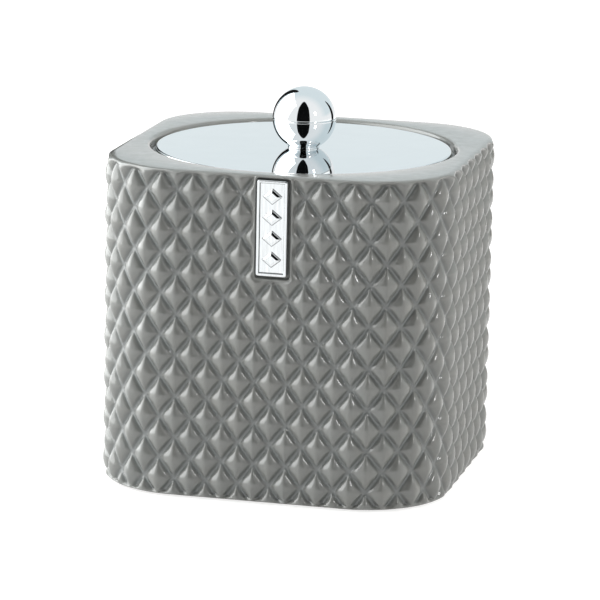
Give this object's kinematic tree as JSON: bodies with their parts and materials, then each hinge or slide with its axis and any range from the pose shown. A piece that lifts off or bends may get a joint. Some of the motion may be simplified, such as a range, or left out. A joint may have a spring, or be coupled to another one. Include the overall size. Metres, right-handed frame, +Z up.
{
  "type": "cotton pad holder",
  "caption": "Square glazed ceramic jar with a diamond relief, a round metal lid with a ball knob that lifts off, and a small plain metal badge.",
  "frame": {"origin": "middle of the underside, on the surface that the jar stands on", "axes": "+Z up along the axis of the lid and its knob, -Y to the front, where the badge is"},
  "size_m": [0.111, 0.111, 0.121],
  "materials": {
    "grey_glaze": "glossy grey glaze",
    "polished_metal": "mirror polished",
    "steel": "plain",
    "soft_clear": "soft, matte",
    "tape": "foam"
  },
  "bodies": {
    "jar": {"ceramic_body": "grey_glaze", "foot_pads": "soft_clear", "badge_tape": "tape", "badge_plate": "polished_metal"},
    "lid": {"lid_plate": "polished_metal", "lid_skirt": "steel", "lid_seal_ring": "soft_clear", "knob_base": "polished_metal", "knob_cap": "polished_metal", "knob_screw": "steel", "knob_washer": "steel"}
  },
  "joints": [
    {"name": "lid_lift", "type": "slide", "parent": "jar", "child": "lid", "axis": [0, 0, 1], "range_m": [0, 0.06]}
  ]
}
